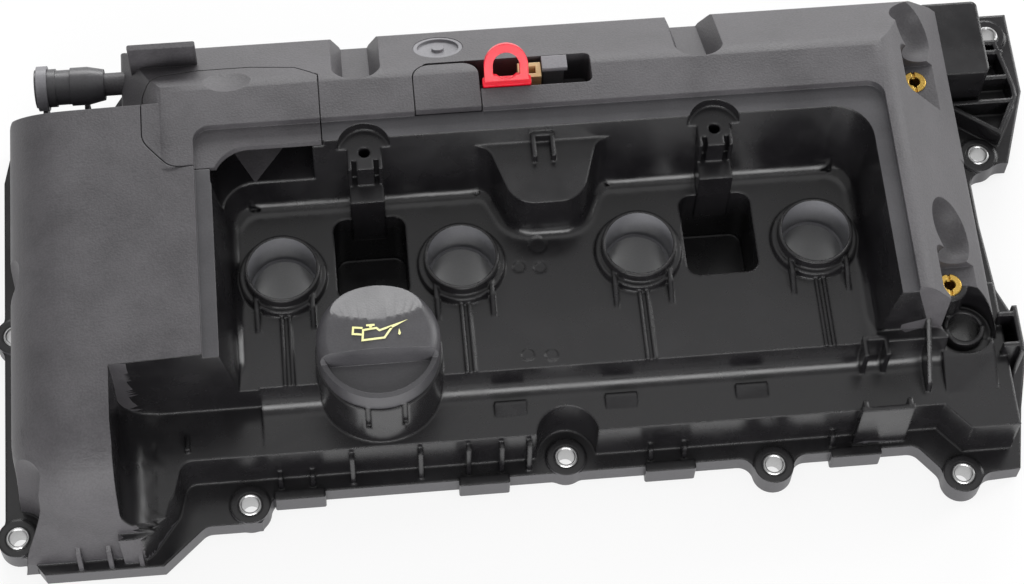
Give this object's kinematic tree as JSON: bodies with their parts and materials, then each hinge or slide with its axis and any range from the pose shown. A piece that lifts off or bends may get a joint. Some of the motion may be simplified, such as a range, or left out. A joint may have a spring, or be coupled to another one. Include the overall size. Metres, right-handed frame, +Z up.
{
  "type": "engine valve cover",
  "caption": "Black plastic valve cover for an in-line engine: plug tubes in a recessed deck, matte hood, oil filler cap, red clip, access hatches and hose coupling",
  "frame": {"origin": "on the mating plane with the cylinder head, midway between the second and third plug tubes", "axes": "+X along the crankshaft to the right as seen from the front, +Y to the back, +Z up off the head"},
  "size_m": [0.5215, 0.2725, 0.1116],
  "materials": {
    "cover_plastic": "glass-filled nylon, grained on the hood and smooth in the well",
    "cap_plastic": "black nylon, satin",
    "inner_plastic": "black nylon, as moulded",
    "red_plastic": "red acetal, smooth",
    "beige_plastic": "natural nylon",
    "grey_plastic": "grey nylon",
    "seal_rubber": "moulded acrylate rubber",
    "brass": "turned and knurled brass",
    "zinc_steel": "zinc-plated steel",
    "spring_steel": "drawn spring wire"
  },
  "bodies": {
    "cover": {"cover_body": "cover_plastic", "perimeter_gasket": "seal_rubber", "plug_tube_seal_1": "seal_rubber", "plug_tube_seal_2": "seal_rubber", "plug_tube_seal_3": "seal_rubber", "plug_tube_seal_4": "seal_rubber", "sleeve_front_1": "zinc_steel", "sleeve_front_2": "zinc_steel", "sleeve_front_3": "zinc_steel", "sleeve_front_4": "zinc_steel", "sleeve_front_5": "zinc_steel", "sleeve_right_1": "zinc_steel", "sleeve_right_2": "zinc_steel", "sleeve_back_1": "zinc_steel", "sleeve_back_2": "zinc_steel", "sleeve_back_3": "zinc_steel", "sleeve_back_4": "zinc_steel", "sleeve_left_1": "zinc_steel", "sleeve_left_2": "zinc_steel", "threaded_insert_1": "brass", "threaded_insert_2": "brass", "connector_block": "beige_plastic", "latch_post": "grey_plastic", "vent_cap": "grey_plastic", "separator_baffle": "inner_plastic", "baffle_screws": "zinc_steel", "valve_cup": "inner_plastic", "valve_lid": "inner_plastic", "hose_coupling": "cap_plastic", "lock_ring": "grey_plastic", "port_seal": "seal_rubber"},
    "cap": {"oil_filler_cap": "cap_plastic", "cap_seal": "seal_rubber"},
    "large_lid": {"access_hatch": "cover_plastic"},
    "small_lid": {"small_hatch": "cover_plastic"},
    "red_clip": {"retaining_clip": "red_plastic"},
    "diaphragm": {"valve_diaphragm": "seal_rubber", "valve_spring": "spring_steel"}
  },
  "joints": [
    {"name": "cap_turn", "type": "hinge", "parent": "cover", "child": "cap", "pos_m": [-0.084, -0.0505, 0.072], "axis": [0, 0, 1], "range_deg": [0, 90]},
    {"name": "large_lid_lift", "type": "slide", "parent": "cover", "child": "large_lid", "axis": [0, 0, 1], "range_m": [0, 0.03]},
    {"name": "small_lid_lift", "type": "slide", "parent": "cover", "child": "small_lid", "axis": [0, 0, 1], "range_m": [0, 0.03]},
    {"name": "clip_pull", "type": "slide", "parent": "cover", "child": "red_clip", "axis": [0, 0, 1], "range_m": [0, 0.01]},
    {"name": "diaphragm_stroke", "type": "slide", "parent": "cover", "child": "diaphragm", "axis": [0, 0, 1], "range_m": [-0.003, 0.003], "stiffness_N_per_m": 120, "deforming": ["valve_spring"]}
  ]
}
